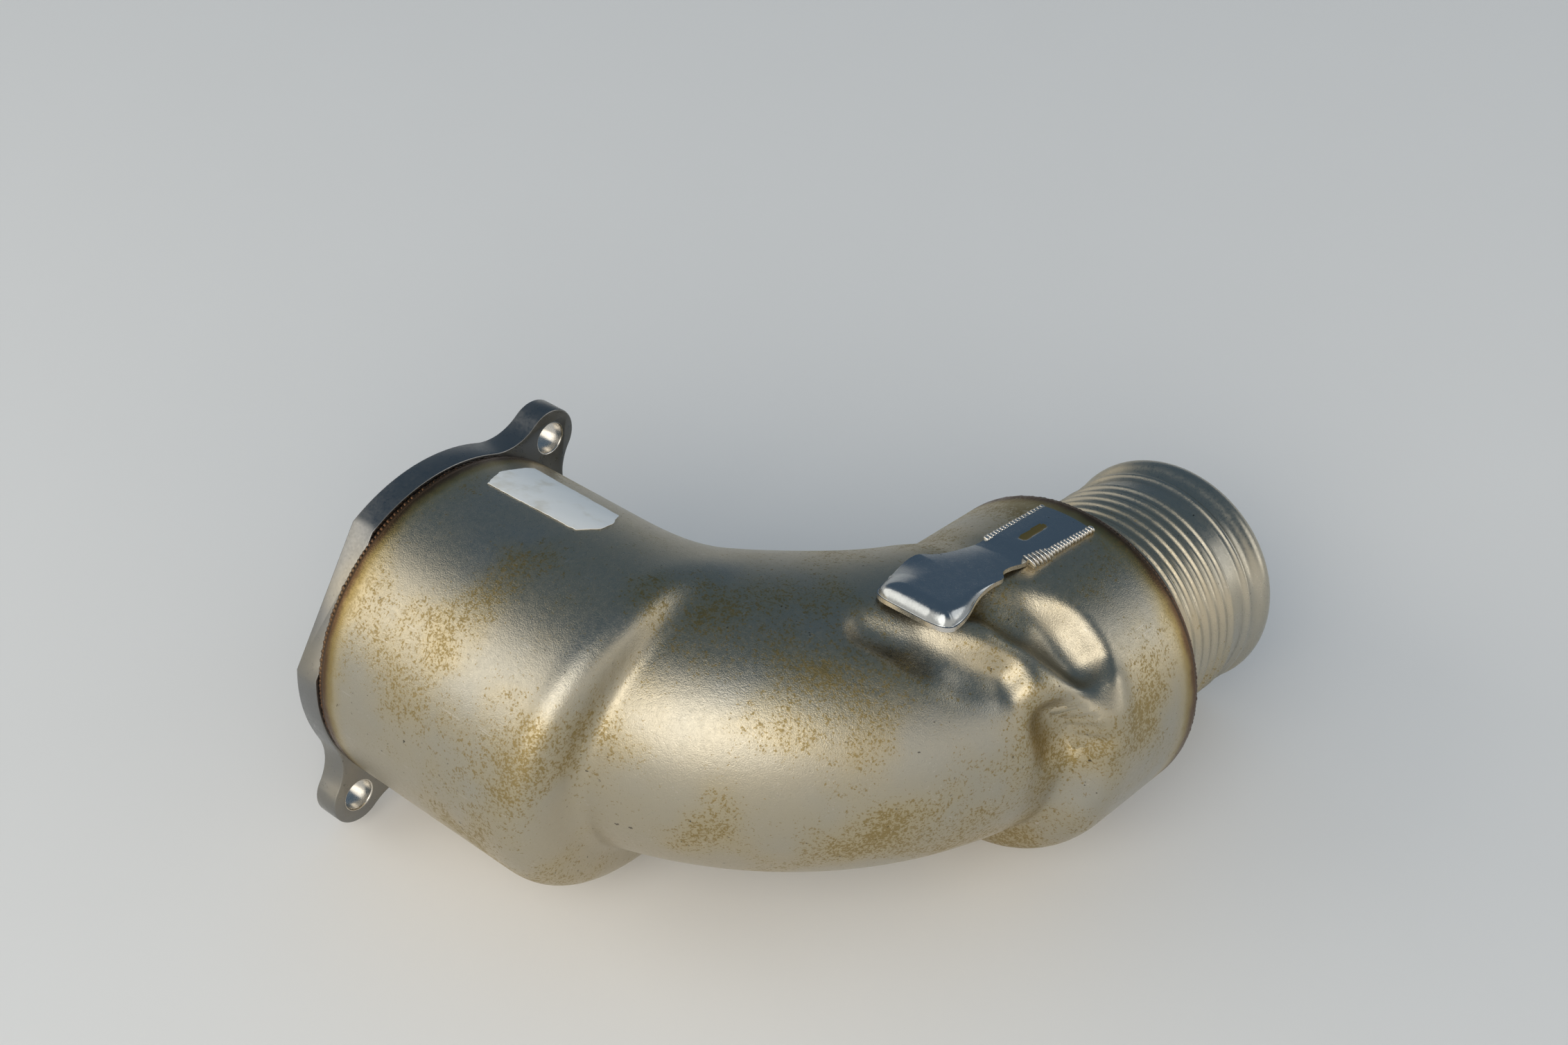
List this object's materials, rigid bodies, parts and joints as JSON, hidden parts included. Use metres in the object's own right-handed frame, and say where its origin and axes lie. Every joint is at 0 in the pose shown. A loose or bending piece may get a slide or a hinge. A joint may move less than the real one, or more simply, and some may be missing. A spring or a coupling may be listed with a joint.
{
  "type": "turbo muffler",
  "caption": "Right-angle sheet-steel muffler for a turbocharger outlet, with a two-ear inlet flange, two resonator chambers joined by a formed bend, and a ribbed hose spigot.",
  "frame": {"origin": "centre of the inlet flange's bore, on the flange's joint face", "axes": "-X out of the inlet flange, +Y along the outlet leg and out of the spigot, +Z normal to the plane of the elbow, on the side of the mounting bracket"},
  "size_m": [0.1384, 0.1688, 0.0798],
  "materials": {
    "flange_steel": "smooth machined stainless plate, darkened",
    "shell_steel": "satin hydroformed stainless sheet with heat colour and oxide specks",
    "sleeve_steel": "plain stainless sheet",
    "cap_steel": "stainless sheet with brown heat tint",
    "spigot_steel": "satin stainless tube with fine turned lines",
    "bracket_steel": "satin stainless sheet with bright sheared edges",
    "weld_steel": "bright rippled weld metal",
    "seal_steel": "smooth sprung metal ring",
    "label_paper": "bare matte paper"
  },
  "bodies": {
    "root": {"inlet_flange": "flange_steel", "flange_seal": "seal_steel", "flange_weld": "weld_steel", "outer_shell": "shell_steel", "inlet_sleeve": "sleeve_steel", "inlet_divider": "sleeve_steel", "inlet_baffle": "sleeve_steel", "outlet_baffle": "sleeve_steel", "outlet_sleeve": "sleeve_steel", "end_cap": "cap_steel", "end_cap_weld": "weld_steel", "outlet_spigot": "spigot_steel", "spigot_weld": "weld_steel", "mounting_bracket": "bracket_steel", "bracket_plug_weld": "weld_steel", "bracket_weld_near": "weld_steel", "bracket_weld_far": "weld_steel", "paper_label": "label_paper"}
  },
  "joints": []
}
